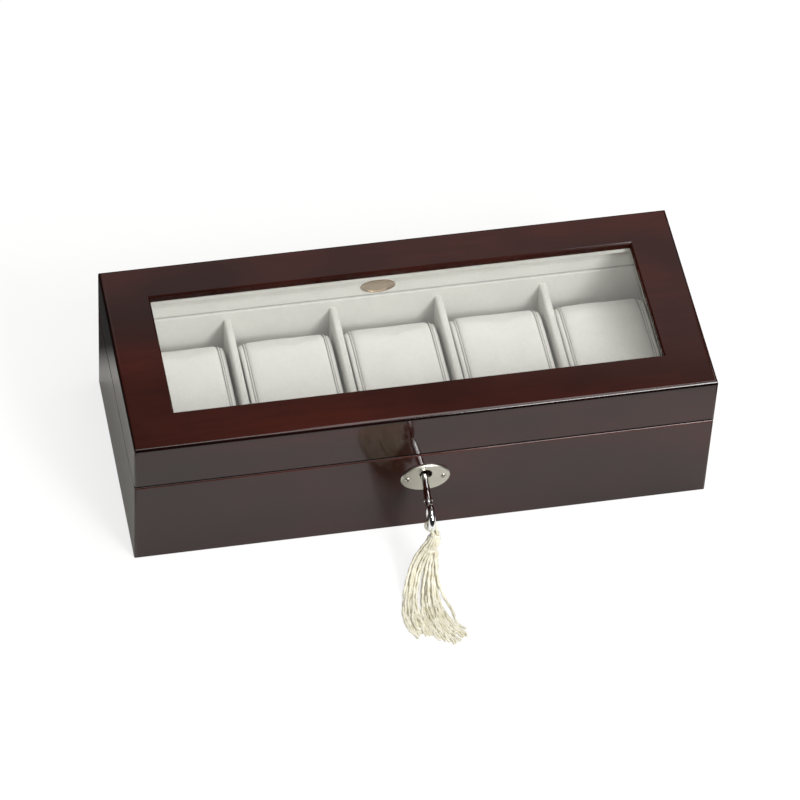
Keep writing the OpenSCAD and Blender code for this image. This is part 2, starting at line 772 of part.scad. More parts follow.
// The key: nose, bit, shank, collar, neck and a ring-shaped bow
module key() color([0.78, 0.79, 0.8])
    translate([0, nose_y, 0]) rotate([0, 0, -key_yaw]) translate([0, -nose_y, 0]) {
        rod_y(0, key_z, nose_r, hub_back - 0.5, nose_y);
        rod_y(0, key_z, shank_r, key_face - shank_show + 1.2, hub_back);
        block([-bit_w / 2, hub_y + 0.1, key_z - bit_reach],
              [bit_w / 2, hub_back, key_z]);
        translate([0, key_face - 1, key_z]) rotate([90, 0, 0])
            cylinder(r1 = shank_r, r2 = shank_r + shank_swell, h = shank_show - 2);
        rod_y(0, key_z, shank_r + shank_swell + 0.15, key_face - shank_show,
              key_face - shank_show + 1);
        rod_y(0, key_z, shank_r - 0.45, bow_y + bow_ring_r, key_face - shank_show + 0.5);
        translate([0, bow_y, key_z]) rotate([0, 90, 0])
            rotate_extrude() translate([bow_ring_r, 0]) circle(bow_bar_r);
    }

// Route of the tassel's cord, from the head, through the bow and back to the head,
// measured from the middle of the bow's bar at its lowest point
loop_route = [
    [1.18, -2.1, -10.06], [1.66, -2.1, -7.81], [2.13, -2.1, -5.56], [0.9, -1.75, -4.1],
    [-0.9, -1.1, -3.15], [-2.3, -0.5, -1.7], [-2.8, -0.1, 0.1], [-2.1, 0, 1.85],
    [-0.6, 0, 2.75], [1.1, 0, 2.6], [2.4, -0.1, 1.45], [2.87, -0.3, -0.3],
    [3, -0.8, -2], [3.2, -1.5, -3.7], [3.47, -2.1, -5.84], [2.99, -2.1, -8.09],
    [2.51, -2.1, -10.34]];
head_top = hang + [2.8, -2.1, -5.7];
head_lean = 12;
head_l = 12.6;
pocket_r = 2 * loop_r + 0.3;
pocket_l = 5.2;
head_end = head_top - head_l * [sin(head_lean), 0, cos(head_lean)];

module tassel_loop() color(ivory) {
    route = [for (p = loop_route) hang + p];
    loft([for (i = [0 : len(route) - 1])
        let (t = heading(route, i), u = unit(cross(t, [0.1, 1, 0])), v = cross(t, u))
        [for (k = [0 : 7]) route[i]
            + loop_r * (cos(45 * k) * u + sin(45 * k) * v)]]);
}

// The bound head: a neck and a pocket that the cord's ends go into, a round knot and
// a binding, leaning with the strands
module tassel_head() color(ivory) translate(head_top) rotate([0, head_lean, 0])
    rotate_extrude() difference() {
        union() {
            intersection() {
                translate([0, -4.6]) circle(tassel_head_r + 1.2);
                translate([0, -10]) square([tassel_head_r, 9]);
            }
            translate([0, -2]) square([2, 1.4]);
            translate([0, -head_l]) square([tassel_head_r - 0.4, 6]);
        }
        translate([0, -pocket_l]) square([pocket_r, pocket_l]);
        for (z = [-9.2, -10.2, -11.2])
            translate([tassel_head_r - 0.2, z]) circle(0.4, $fn = 24);
    }

// Middle line of the strands from the head to the table, as steps in X and Y from
// the head's end and shares of its height, each with the half width and half
// thickness of the bundle there
skirt_line = [
    [[-0.95, -1.1, 0.965], 2.7, 2.7], [[-1.3, -1.4, 0.74], 5, 3.6],
    [[-2.2, -3.4, 0.5], 7.4, 3.9], [[-3.2, -7, 0.31], 9, 3.4],
    [[-4.2, -13, 0.21], 10, 2.8], [[-4.75, -20.6, 0.17], 10.6, 2.4],
    [[-4.15, -28.6, 0.152], 11.2, 2.2], [[-2.55, -36.6, 0.14], 12, 2],
    [[-0.95, -43.2, 0.135], 12.6, 1.8]];
strands = 14;

module tassel_skirt() color(ivory) {
    middle = [for (s = skirt_line)
        [head_end[0] + s[0][0], head_end[1] + s[0][1], head_end[2] * s[0][2]]];
    loft([for (i = [0 : len(middle) - 1])
        let (t = heading(middle, i), u = unit([1, 0, 0] - t[0] * t), v = cross(t, u),
             w = skirt_line[i][1], h = skirt_line[i][2])
        [for (k = [0 : 4 * strands - 1])
            let (a = 90 * k / strands, f = k % 4 == 0 ? 0.88 : 1)
            middle[i] + f * (w * cos(a) * u + h * sin(a) * v)]]);
}

base_front_wall();
base_left_wall();
base_back_wall();
base_right_wall();
bottom_board();
base_felt();
lock_plate();
lock_cap();
lock_hub();
lock_bolt();
lock_screws();
escutcheon();
escutcheon_screws();
key();
tassel_loop();
tassel_head();
tassel_skirt();
floor_lining();
base_lining_front();
base_lining_left();
base_lining_back();
base_lining_right();
for (i = [1 : slots - 1]) divider(i);
for (i = [1 : slots]) cushion(i);
lid_front_wall();
lid_left_wall();
lid_back_wall();
lid_right_wall();
lid_top_panel();
glass_pane();
glass_strip_front();
glass_strip_left();
glass_strip_back();
glass_strip_right();
lid_lining_front();
lid_lining_left();
lid_lining_back();
lid_lining_right();
name_plate();
strike_plate();
strike_screws();
hinge_base_leaf_left();
hinge_base_leaf_right();
hinge_lid_leaf_left();
hinge_lid_leaf_right();
hinge_pin_left();
hinge_pin_right();
hinge_base_screws();
hinge_lid_screws();
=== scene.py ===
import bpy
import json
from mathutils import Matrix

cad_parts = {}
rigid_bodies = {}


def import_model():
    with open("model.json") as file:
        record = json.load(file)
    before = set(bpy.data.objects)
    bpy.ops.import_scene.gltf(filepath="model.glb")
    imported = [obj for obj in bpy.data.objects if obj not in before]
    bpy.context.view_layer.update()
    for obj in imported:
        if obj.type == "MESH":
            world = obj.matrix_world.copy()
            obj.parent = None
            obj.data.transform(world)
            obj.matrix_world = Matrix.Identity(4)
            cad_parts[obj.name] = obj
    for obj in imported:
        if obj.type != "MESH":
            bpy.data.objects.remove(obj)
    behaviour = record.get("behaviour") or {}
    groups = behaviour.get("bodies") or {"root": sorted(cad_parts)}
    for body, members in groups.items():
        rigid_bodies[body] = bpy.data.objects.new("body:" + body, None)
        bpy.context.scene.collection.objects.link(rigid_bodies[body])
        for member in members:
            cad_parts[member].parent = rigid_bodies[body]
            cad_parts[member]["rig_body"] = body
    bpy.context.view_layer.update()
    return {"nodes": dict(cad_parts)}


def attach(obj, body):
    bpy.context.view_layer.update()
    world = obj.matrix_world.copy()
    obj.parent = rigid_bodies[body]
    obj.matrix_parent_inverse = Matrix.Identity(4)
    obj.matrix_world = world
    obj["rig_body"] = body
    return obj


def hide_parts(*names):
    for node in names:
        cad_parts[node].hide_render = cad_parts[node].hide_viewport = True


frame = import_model()

import json
import math

import bmesh
import bpy
import numpy as np
from mathutils import Matrix, Vector

MM = 0.001
nodes = frame["nodes"]

# Sizes in millimetres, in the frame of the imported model
JOINT_Z, LID_TOP = 57.25, 87.5           # height of the lining's joint, and of the lid
WINDOW_Y, WINDOW_HALF = 0.6, (131.25, 41.3)      # the window's middle and half size
SLOT_PITCH, FLOOR_TOP = 57.86, 8.1
CUSHION_W, CUSHION_L, CUSHION_H, SQUARE = 49.96, 88.0, 38.0, 5.5
BAND, CROWN, DRAW, SEAM_DEPTH = 3.0, 0.5, 1.8, 0.8       # see cushion_grid
LUMP_HEIGHT, LUMP_SIZE = 0.5, 9.0
PIPING_R, PIPING_INSET = 0.42, 0.55
PLATE_FACE = -64.5
KEY_Z, KEY_YAW, NOSE_Y = 42.0, 4.5, -53.8        # KEY_YAW in degrees
SHANK_R, SHANK_SWELL, COLLAR_Y, BOW_Y = 1.9, 0.4, -84.5, -94.3
BOW_RING_R, BOW_BAR_R = 5.7, 1.85
BIT_HALF, BIT_DROP, BIT_FRONT, BIT_BACK = (0.9, 4.5), 3.6, -60.2, -57.1
HANG = np.array([-3.1776, -94.1752, 36.3])       # where the tassel hangs in the bow
CORD_R = 0.6
HEAD_TOP = HANG + [2.8, -2.1, -5.7]
HEAD_LEAN, HEAD_L = math.radians(12), 12.6
# Shares of the head's length, and its radius there
HEAD_AT = (0, 0.04, 0.1, 0.2, 0.35, 0.5, 0.65, 0.78, 0.88, 1)
HEAD_R = (0.9, 1.9, 2.7, 3.4, 3.8, 3.85, 3.6, 3.05, 2.85, 3.1)
HEAD_RIBS, RIB_DEPTH = 16, 0.1
BINDING_R, BINDING_CORD_R, BINDING_TURNS, BINDING_TOP, BINDING_STEP = 2.98, 0.3, 5, -9.6, 0.5
KNOT_R, KNOT_TURNS, KNOT_TOP, KNOT_STEP = (1.9, 1.75), 2.3, 0.5, 0.62
STRAND_R, STRANDS, STRANDS_OVER, SWAY = 0.74, 20, 4, 1.3
LAYER_DROP = np.array([1.2, 1.6, 1.4, 0.8, 0.3, 0, 0])   # per layer, down the strand

# The camera: degrees, metres and pixels of an 800 pixel wide picture
CAMERA_TURN = (-13.46, 48.7, 3.51)               # azimuth, elevation, roll
CAMERA_TARGET, CAMERA_DISTANCE = (-0.00101, 0, 0.02881), 2.61419
FOCAL_PX, PICTURE_PX, SENSOR_MM = 4867.52, 800, 36

# The studio, in metres and watts
WORLD_SOFT, WORLD_MIRRORED, HORIZON = 0.41, 0.115, 0.02
WARM = (1, 0.975, 0.9, 1)
TABLE, TABLE_SHAPE = (0.161, 0.23), (0.62, 1.0, 0.0)     # where its mirror image fades
TABLE_RIGHT, TABLE_BACK = (0.185, 0.215), (0.066, 0.09)
SHEET_GLOW, SHEET_SHARE, SHEET_DARK = 1.1, 0.7, 0.04
CARD_X, CARD_Y, CARD_Z = (-1.2, 1.4), (0.5, 1.8), 0.9
CARD_FADE, CARD_STRENGTH, CARD_SLANT = (0.69, 0.775), 0.52, (0.25, 1.0, 0.0)
SOFTBOXES = (       # name, place, what it faces, size, watts
    ("key_softbox", (1.08, -1.95, 1.9), (0, 0, 0.05), (0.7, 0.6), 32),
    ("front_softbox", (0.2, -0.95, 1.45), (0, 0, 0.05), (1.6, 0.3), 8),
    ("edge_softbox", (0.43, -1.35, 0.88), (0.1, 0, 0.08), (0.3, 0.3), 8),
    ("top_softbox", (0.35, -0.1, 1.65), (0, 0, 0.05), (1.0, 0.8), 8.5))


# surfaces

def unit(v):
    """Each row of v divided by its length."""
    return v / np.maximum(np.linalg.norm(v, axis=-1, keepdims=True), 1e-12)


def smooth_path(points, n):
    """n points evenly along the Catmull-Rom curve through the given points: between
    two neighbours each coordinate is the cubic with slopes (next - previous) / 2."""
    p = np.asarray(points, float)
    p = np.vstack([2 * p[0] - p[1], p, 2 * p[-1] - p[-2]])
    t = np.linspace(0, 1, 24, endpoint=False)[None, :, None]
    a, b, c, d = (p[i:len(p) - 3 + i, None, :] for i in range(4))
    dense = 0.5 * (2 * b + (c - a) * t + (2 * a - 5 * b + 4 * c - d) * t ** 2
                   + (3 * b - a - 3 * c + d) * t ** 3)
    dense = np.vstack([dense.reshape(-1, p.shape[1]), p[-2]])
    return evenly(dense, n)


def evenly(line, n):
    """n points at equal steps of length along a polyline."""
    s = np.r_[0, np.cumsum(np.linalg.norm(np.diff(line, axis=0), axis=1))]
    want = np.linspace(0, s[-1], n)
    return np.stack([np.interp(want, s, line[:, k]) for k in range(line.shape[1])], 1)


def frames_along(line, up=(0.13, 0.31, 0.94)):
    """Two unit directions square to a path at each of its points: up made square to
    the tangent, and their cross product."""
    t = unit(np.gradient(line, axis=0))
    u = unit(np.asarray(up, float) - (t @ np.asarray(up, float))[:, None] * t)
    return u, np.cross(t, u)


def tube(line, radius, around=12, lobes=0, depth=0.0, twist=0.0):
    """Grid of points round a path. At angle a and length s the distance from the
    path is radius * (1 - depth * cos(lobes * (a - twist * s)))."""
    line = np.asarray(line, float)
    u, v = frames_along(line)
    s = np.r_[0, np.cumsum(np.linalg.norm(np.diff(line, axis=0), axis=1))]
    a = np.linspace(0, 2 * np.pi, around, endpoint=False)
    r = np.broadcast_to(np.asarray(radius, float), (len(line),))[:, None]
    r = r * (1 - depth * np.cos(lobes * (a[None, :] - twist * s[:, None])))
    return (line[:, None, :] + r[..., None]
            * (np.cos(a)[None, :, None] * u[:, None] + np.sin(a)[None, :, None] * v[:, None]))


def turned(profile, around=48):
    """Grid of a turned shape: each (radius, height) of the profile becomes the ring
    radius * (cos a, sin a) at that height along Z."""
    p = np.asarray(profile, float)
    a = np.linspace(0, 2 * np.pi, around, endpoint=False)
    return np.stack([p[:, :1] * np.cos(a), p[:, :1] * np.sin(a),
                     np.repeat(p[:, 1:], around, axis=1)], axis=2)


def soft_oval(a, b, power, n):
    """Points of |x / a| ** power + |y / b| ** power = 1 at n even angles."""
    t = np.linspace(0, 2 * np.pi, n, endpoint=False)
    c, s = np.cos(t), np.sin(t)
    return np.stack([a * np.sign(c) * np.abs(c) ** (2 / power),
                     b * np.sign(s) * np.abs(s) ** (2 / power)], 1)


def skin(grid, loop=False):
    """Points and faces over a grid whose rows close on themselves. Its ends are
    closed by a fan to their middle, unless loop joins the last row to the first."""
    rows, cols = grid.shape[:2]
    points = grid.reshape(-1, 3)
    i, j = np.meshgrid(np.arange(rows if loop else rows - 1), np.arange(cols),
                       indexing="ij")
    i, j, k = i.ravel(), j.ravel(), (j.ravel() + 1) % cols
    n = (i + 1) % rows
    faces = np.stack([i * cols + j, i * cols + k, n * cols + k, n * cols + j],
                     1).tolist()
    if not loop:
        points = np.vstack([points, grid[0].mean(0), grid[-1].mean(0)])
        j = np.arange(cols)
        k, last, top = (j + 1) % cols, (rows - 1) * cols, rows * cols
        faces += np.stack([k, j, np.full(cols, top)], 1).tolist()
        faces += np.stack([last + j, last + k, np.full(cols, top + 1)], 1).tolist()
    return points, faces


def outward(points, faces):
    """The faces, all turned round if the volume that they enclose is negative."""
    tri = np.array([[f[0], f[1], f[2]] for f in faces]
                   + [[f[0], f[2], f[3]] for f in faces if len(f) == 4])
    a, b, c = points[tri[:, 0]], points[tri[:, 1]], points[tri[:, 2]]
    volume = np.einsum("ij,ij->i", a, np.cross(b, c)).sum()
    return faces if volume >= 0 else [f[::-1] for f in faces]


def piece(name, skins, look, body, sharp=40.0, stands_for=()):
    """One mesh from several closed skins given in millimetres, smooth but for edges
    sharper than the angle, with its finish, its body and the nodes it stands for."""
    points, faces, start = [], [], 0
    for p, f in skins:
        f = outward(p, f)
        points.append(p)
        faces += [[k + start for k in face] for face in f]
        start += len(p)
    mesh = bpy.data.meshes.new(name)
    mesh.from_pydata((np.vstack(points) * MM).tolist(), [], faces)
    mesh.polygons.foreach_set("use_smooth", [True] * len(mesh.polygons))
    mesh.set_sharp_from_angle(angle=math.radians(sharp))
    mesh.materials.append(look)
    obj = bpy.data.objects.new(name, mesh)
    bpy.context.scene.collection.objects.link(obj)
    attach(obj, body)
    if stands_for:
        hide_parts(*stands_for)
    return obj


def turn_z(points, degrees, centre):
    """Points turned about a vertical line through the centre."""
    a = math.radians(degrees)
    m = np.array([[math.cos(a), -math.sin(a), 0], [math.sin(a), math.cos(a), 0], [0, 0, 1]])
    c = np.asarray(centre, float)
    return (points - c) @ m.T + c


# materials

def node(tree, kind, inputs=None, **settings):
    """A new shader node. An input is either the socket to link or a plain value."""
    n = tree.nodes.new(kind)
    for key, value in settings.items():
        setattr(n, key, value)
    for key, value in (inputs or {}).items():
        if isinstance(value, bpy.types.NodeSocket):
            tree.links.new(value, n.inputs[key])
        else:
            n.inputs[key].default_value = value
    return n


class Look:
    """A material in the making: its nodes, its shader and its Object coordinates."""

    def __init__(self, name, **sockets):
        self.made = bpy.data.materials.new(name)
        self.made.use_nodes = True
        self.tree = self.made.node_tree
        self.shader = self.tree.nodes["Principled BSDF"]
        self.where = self.add("ShaderNodeTexCoord").outputs["Object"]
        for key, value in sockets.items():
            self.shader.inputs[key.replace("_", " ")].default_value = value

    def add(self, kind, inputs=None, **settings):
        """A new node of this material."""
        return node(self.tree, kind, inputs, **settings)

    def math(self, operation, a, b=0.0, c=0.0, clamp=False):
        """The result of one sum on values or sockets."""
        return self.add("ShaderNodeMath", {0: a, 1: b, 2: c}, operation=operation,
                        use_clamp=clamp).outputs[0]

    def fade(self, value, start, end):
        """From 1 to 0, smoothly, as the value goes from start to end."""
        return self.add("ShaderNodeMapRange", {"Value": value, "From Min": start,
                        "From Max": end, "To Min": 1.0, "To Max": 0.0},
                        interpolation_type="SMOOTHSTEP").outputs[0]

    def axes(self, where=None):
        """The X, Y and Z of a place, by default in Object coordinates."""
        place = self.where if where is None else where
        return self.add("ShaderNodeSeparateXYZ", {0: place}).outputs

    def set(self, **links):
        """Links sockets to the shader's inputs of the same names."""
        for key, value in links.items():
            self.tree.links.new(value, self.shader.inputs[key.replace("_", " ")])

    def noise(self, scale, stretch=(1, 1, 1), detail=3.0, rough=0.55, warp=0.0, shift=0.0):
        """Noise between 0 and 1, stretched per axis."""
        at = self.add("ShaderNodeMapping", {"Vector": self.where, "Scale": stretch,
                                            "Location": (shift, shift * 1.7, shift * 0.6)})
        return self.add("ShaderNodeTexNoise", {"Vector": at.outputs[0], "Scale": scale,
                        "Detail": detail, "Roughness": rough, "Distortion": warp}).outputs[0]

    def ramp(self, fac, *stops):
        """Colours or greys at places along a value."""
        n = self.add("ShaderNodeValToRGB", {"Fac": fac})
        r = n.color_ramp
        while len(r.elements) < len(stops):
            r.elements.new(0.5)
        for e, (place, colour) in zip(r.elements, stops):
            e.position = place
            colour = (colour,) * 3 if isinstance(colour, (int, float)) else colour
            e.color = (*colour, 1)
        return n.outputs[0]

    def mix(self, fac, a, b, how="MIX"):
        """Two colours mixed, each a socket or three numbers."""
        n = self.add("ShaderNodeMix", data_type="RGBA", blend_type=how)
        for key, value in ((0, fac), (6, a), (7, b)):
            if isinstance(value, bpy.types.NodeSocket):
                self.tree.links.new(value, n.inputs[key])
            else:
                n.inputs[key].default_value = (*value, 1) if key else value
        return n.outputs[2]

    def bump(self, height, deep, strength=1.0, over=None):
        """A normal roughened by a height, on top of another normal if there is one."""
        inputs = {"Height": height, "Distance": deep, "Strength": strength}
        if over is not None:
            inputs["Normal"] = over
        return self.add("ShaderNodeBump", inputs).outputs[0]


# The wood's tone and its lacquer up the side of the box: heights in millimetres,
# and how much of the tone, or of the lacquer, is there. The tone is painted light
# and shade: a little darker at the foot, the sides painted darker than the top as
# shade, a painted dark reflection on the round edge at the top, painted shade in
# the seam between lid and base, and a painted highlight just below the seam.
# There is no lacquer inside the seam.
PAINTED_SHADE_AND_HIGHLIGHT = ((0.0, 0.45), (1.2, 0.54), (56.0, 0.54), (56.45, 2.2), (56.9, 0.1), (58.3, 0.1),
         (59.2, 0.56), (83.6, 0.56), (84.6, 0.22), (86.75, 0.12), (87.3, 1.0))
LACQUER = ((0.0, 1.0), (56.8, 1.0), (56.97, 0.0), (58.1, 0.0), (58.5, 1.0))
RIM_LACQUER = 0.25


def lacquered_wood(name, stretch, shift):
    """Dark red-brown veneer, its figure drawn out along the grain, under clear
    lacquer with the faintest waviness. Its tone carries painted shade and painted
    highlights up the side of the box. Inside the window's rim the tone is painted
    lighter than the other sides, and the lacquer is thin."""
    look = Look(name, Roughness=0.5, Coat_Weight=1.0, Coat_Roughness=0.09, Coat_IOR=1.47,
                Specular_IOR_Level=0.0)
    figure = look.noise(17, stretch, 4, 0.5, 0.35, shift)
    broad = look.noise(13, (1, 1, 1), 2, 0.5, 0.0, shift + 3)
    pores = look.noise(300, stretch, 3, 0.6, 0.0, shift + 7)
    base = look.ramp(figure, (0.3, (0.019, 0.0044, 0.0028)), (0.5, (0.032, 0.0060, 0.0036)),
                     (0.7, (0.050, 0.0082, 0.0046)))
    base = look.mix(1.0, base, look.ramp(broad, (0.36, 0.62), (0.66, 1.2)), "MULTIPLY")
    base = look.mix(1.0, base, look.ramp(pores, (0.34, 0.86), (0.52, 1.0)), "MULTIPLY")
    at = look.axes()
    share = look.math("DIVIDE", at["Z"], LID_TOP * MM)
    # Painted shade and highlights by height, and the lacquer by height
    painted_light, coat = (look.ramp(share, *((z / LID_TOP, v) for z, v in table))
                   for table in (PAINTED_SHADE_AND_HIGHLIGHT, LACQUER))
    inside = [look.math("LESS_THAN", look.math("ABSOLUTE", look.math(
        "SUBTRACT", at[axis], middle * MM)), half * MM)
        for axis, middle, half in zip("XY", (0.0, WINDOW_Y), WINDOW_HALF)]
    rim = look.math("MULTIPLY", *inside)
    keep = look.math("MULTIPLY_ADD", rim, RIM_LACQUER - 1, 1.0)
    look.set(Coat_Weight=look.mix(1.0, coat, keep, "MULTIPLY"))
    # Inside the window's rim the tone is not darkened: the rim's shaded faces are painted lighter
    painted_light = look.mix(rim, painted_light, (1.0, 1.0, 1.0))
    look.set(Base_Color=look.mix(1.0, base, painted_light, "MULTIPLY"))
    skin_wave = look.noise(38, (1, 1, 1), 1, 0.4, 0.0, shift)
    look.set(Coat_Normal=look.bump(skin_wave, 0.00004, 1.0))
    return look.made


# Painted shade on the suede at distances, in millimetres, from a joint and from a seam
JOINT_SHADE = ((0.0, 0.22), (0.5, 0.22), (0.75, 1.0))
SEAM_SHADE = ((0.0, 0.95), (0.38, 0.9), (0.5, 0.4), (0.7, 0.45), (0.9, 1.0))


def suede(name, tint, nap, shift=0.0, jointed=False):
    """Brushed suede cloth: fine fibre, with patches where the nap lies the other
    way. Along one line it is painted darker. At the joint between the linings of lid
    and base this is painted shade in the gap. Along both sides of each cushion's
    seam it is partly the stitching and partly painted shade in the groove."""
    look = Look(name, Roughness=0.92, Specular_IOR_Level=0.15, Sheen_Weight=0.15,
                Sheen_Roughness=0.5)
    patch = look.noise(42, (1, 1, 1), 3, 0.6, 0.8, shift)
    fibre = look.noise(2600, (1, 1, 1), 2, 0.6, 0.0, shift)
    speck = look.noise(700, (1, 1, 1), 2, 0.6, 0.0, shift + 1)
    light = look.ramp(patch, (0.3, 1 - nap), (0.7, 1.0))
    grain = look.ramp(speck, (0.3, 0.94), (0.7, 1.0))
    colour = look.mix(1.0, tint, light, "MULTIPLY")
    colour = look.mix(1.0, colour, grain, "MULTIPLY")
    at = look.axes()
    if jointed:
        off = look.math("SUBTRACT", at["Z"], JOINT_Z * MM)
    else:
        across = look.math("WRAP", at["X"], SLOT_PITCH / 2 * MM, -SLOT_PITCH / 2 * MM)
        off = look.math("SUBTRACT", look.math("ABSOLUTE", across),
                        (CUSHION_W / 2 - BAND) * MM)
    far = look.math("DIVIDE", look.math("ABSOLUTE", off), MM)
    shade = look.ramp(far, *(JOINT_SHADE if jointed else SEAM_SHADE))
    look.set(Base_Color=look.mix(1.0, colour, shade, "MULTIPLY"))
    soft = look.bump(speck, 0.00012, 0.5)
    look.set(Normal=look.bump(fibre, 0.00006, 0.6, soft))
    return look.made


def metal(name, colour, rough, brushed=(1, 1, 1), depth=0.000004, shift=0.0):
    """Plated metal: its roughness wanders a little, with hairlines along one axis."""
    look = Look(name, Metallic=1.0, Base_Color=(*colour, 1))
    wander = look.noise(60, (1, 1, 1), 3, 0.6, 0.0, shift)
    hair = look.noise(900, brushed, 3, 0.6, 0.0, shift)
    look.set(Roughness=look.ramp(wander, (0.3, rough * 0.75), (0.7, rough * 1.3)))
    look.set(Normal=look.bump(hair, depth, 0.6))
    return look.made


WOOD_X = lacquered_wood("lacquered_wood_long", (0.16, 1, 1), 0.0)
WOOD_Y = lacquered_wood("lacquered_wood_ends", (1, 0.16, 1), 2.3)
LINING = suede("lining_suede", (0.735, 0.718, 0.68), 0.07, jointed=True)
CUSHION_CLOTH = suede("cushion_suede", (0.81, 0.785, 0.755), 0.05, 4.0)
CHROME = metal("chrome_key", (0.86, 0.86, 0.86), 0.07)
NICKEL = metal("satin_nickel", (0.50, 0.485, 0.42), 0.36, (0.05, 1, 1), 0.000008)
STEEL = metal("bright_steel", (0.62, 0.62, 0.63), 0.2, (1, 0.06, 1), 0.000006)
BRASS = metal("brass", (0.78, 0.58, 0.27), 0.22)
BRONZE = metal("bronze_plate", (0.42, 0.34, 0.26), 0.34, (0.06, 1, 1), 0.00001)


def ivory_cord(name):
    """Bright rayon yarn: ivory, a little deeper in tone from strand to strand."""
    look = Look(name, Roughness=0.42, Specular_IOR_Level=0.5, Sheen_Weight=0.15,
                Sheen_Roughness=0.3)
    tone = look.noise(260, (1, 1, 1), 2, 0.5)
    fibre = look.noise(3800, (1, 1, 0.35), 2, 0.6)
    look.set(Base_Color=look.ramp(tone, (0.3, (0.58, 0.545, 0.41)), (0.55, (0.69, 0.665, 0.55)),
                                  (0.75, (0.76, 0.74, 0.65))))
    look.set(Normal=look.bump(fibre, 0.00005, 0.6))
    return look.made


def bare_board(name):
    """Plain board under the felt: fibres pressed in all directions."""
    look = Look(name, Roughness=0.8)
    mottle = look.noise(300, (1, 1, 1), 5, 0.65)
    look.set(Base_Color=look.ramp(mottle, (0.3, (0.2, 0.13, 0.075)), (0.7, (0.3, 0.21, 0.13))))
    look.set(Normal=look.bump(mottle, 0.00008, 0.5))
    return look.made


def dark_felt(name):
    """Pressed felt with lighter fibres in it."""
    look = Look(name, Roughness=1.0, Specular_IOR_Level=0.1, Sheen_Weight=0.3,
                Sheen_Roughness=0.5)
    fibre = look.noise(1500, (1, 1, 1), 4, 0.7, 2.0)
    look.set(Base_Color=look.ramp(fibre, (0.35, (0.012, 0.011, 0.011)),
                                  (0.7, (0.04, 0.037, 0.036))))
    look.set(Normal=look.bump(fibre, 0.0003, 0.8))
    return look.made


def clear_glass(name):
    """Clear pane. Light falls straight through it; its faces still mirror."""
    look = Look(name, Base_Color=(0.97, 0.985, 0.98, 1), Roughness=0.0, IOR=1.5,
                Transmission_Weight=1.0)
    path = look.add("ShaderNodeLightPath").outputs
    through = look.add("ShaderNodeBsdfTransparent", {"Color": (0.95, 0.96, 0.955, 1)})
    either = look.math("MAXIMUM", path["Is Shadow Ray"], path["Is Diffuse Ray"])
    both = look.add("ShaderNodeMixShader", {0: either, 1: look.shader.outputs[0],
                                            2: through.outputs[0]})
    look.tree.links.new(both.outputs[0], look.tree.nodes["Material Output"].inputs["Surface"])
    return look.made


IVORY = ivory_cord("ivory_cord")
GLASS = clear_glass("clear_glass")
BOARD = bare_board("bare_board")
FELT = dark_felt("dark_felt")


def dress(look, *names):
    """Gives CAD nodes a finish."""
    for name in names:
        mesh = nodes[name].data
        mesh.materials.clear()
        mesh.materials.append(look)


def eased(look, *names):
    """A copy of each wooden node with its loose triangles joined, so that the
    lacquer runs smoothly over its rounded edges."""
    for name in names:
        mesh = nodes[name].data.copy()
        for layer in [a for a in mesh.attributes if a.name == "custom_normal"]:
            mesh.attributes.remove(layer)
        work = bmesh.new()
        work.from_mesh(mesh)
        bmesh.ops.remove_doubles(work, verts=work.verts[:], dist=1e-6)
        work.to_mesh(mesh)
        work.free()
        mesh.name = name + "_lacquered"
        mesh.materials.clear()
        mesh.materials.append(look)
        mesh.polygons.foreach_set("use_smooth", [True] * len(mesh.polygons))
        mesh.set_sharp_from_angle(angle=math.radians(32))
        obj = bpy.data.objects.new(mesh.name, mesh)
        bpy.context.scene.collection.objects.link(obj)
        even = obj.modifiers.new("even_shading", "WEIGHTED_NORMAL")
        even.keep_sharp = True
        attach(obj, nodes[name]["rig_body"])
        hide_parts(name)


dress(BOARD, "bottom_board")
dress(FELT, "base_felt")
dress(LINING, "floor_lining", *(f"{at}_lining_{side}" for at in ("base", "lid")
      for side in ("front", "left", "back", "right")),
      *(f"divider_{k}" for k in range(1, 5)),
      *(f"glass_strip_{side}" for side in ("front", "left", "back", "right")))
dress(GLASS, "glass_pane")
dress(BRONZE, "name_plate")
dress(NICKEL, "lock_plate", "lock_bolt", "strike_plate", "escutcheon", "escutcheon_screws",
      "hinge_base_leaf_left", "hinge_base_leaf_right", "hinge_lid_leaf_left",
      "hinge_lid_leaf_right")
dress(STEEL, "lock_cap", "lock_screws", "strike_screws", "hinge_base_screws",
      "hinge_lid_screws", "hinge_pin_left", "hinge_pin_right")
dress(BRASS, "lock_hub")
eased(WOOD_X, "base_front_wall", "base_back_wall", "lid_front_wall", "lid_back_wall",
      "lid_top_panel")
eased(WOOD_Y, "base_left_wall", "base_right_wall", "lid_left_wall", "lid_right_wall")


# camera

def place_camera():
    """The photograph's camera: it looks at the target from azimuth and elevation
    at a distance, then rolls about its own axis."""
    azimuth, elevation, roll = (math.radians(v) for v in CAMERA_TURN)
    back = Vector((math.sin(azimuth) * math.cos(elevation),
                   -math.cos(azimuth) * math.cos(elevation), math.sin(elevation)))
    right = (-back).cross(Vector((0, 0, 1))).normalized()
    up = right.cross(-back)
    side = math.cos(roll) * right + math.sin(roll) * up
    top = -math.sin(roll) * right + math.cos(roll) * up
    data = bpy.data.cameras.new("camera")
    data.sensor_width = SENSOR_MM
    data.lens = FOCAL_PX * SENSOR_MM / PICTURE_PX
    data.clip_start, data.clip_end = 0.05, 50
    cam = bpy.data.objects.new("camera", data)
    bpy.context.scene.collection.objects.link(cam)
    m = Matrix((side, top, back)).transposed().to_4x4()
    m.translation = Vector(CAMERA_TARGET) + CAMERA_DISTANCE * back
    cam.matrix_world = m
    bpy.context.scene.camera = cam


place_camera()


# tassel

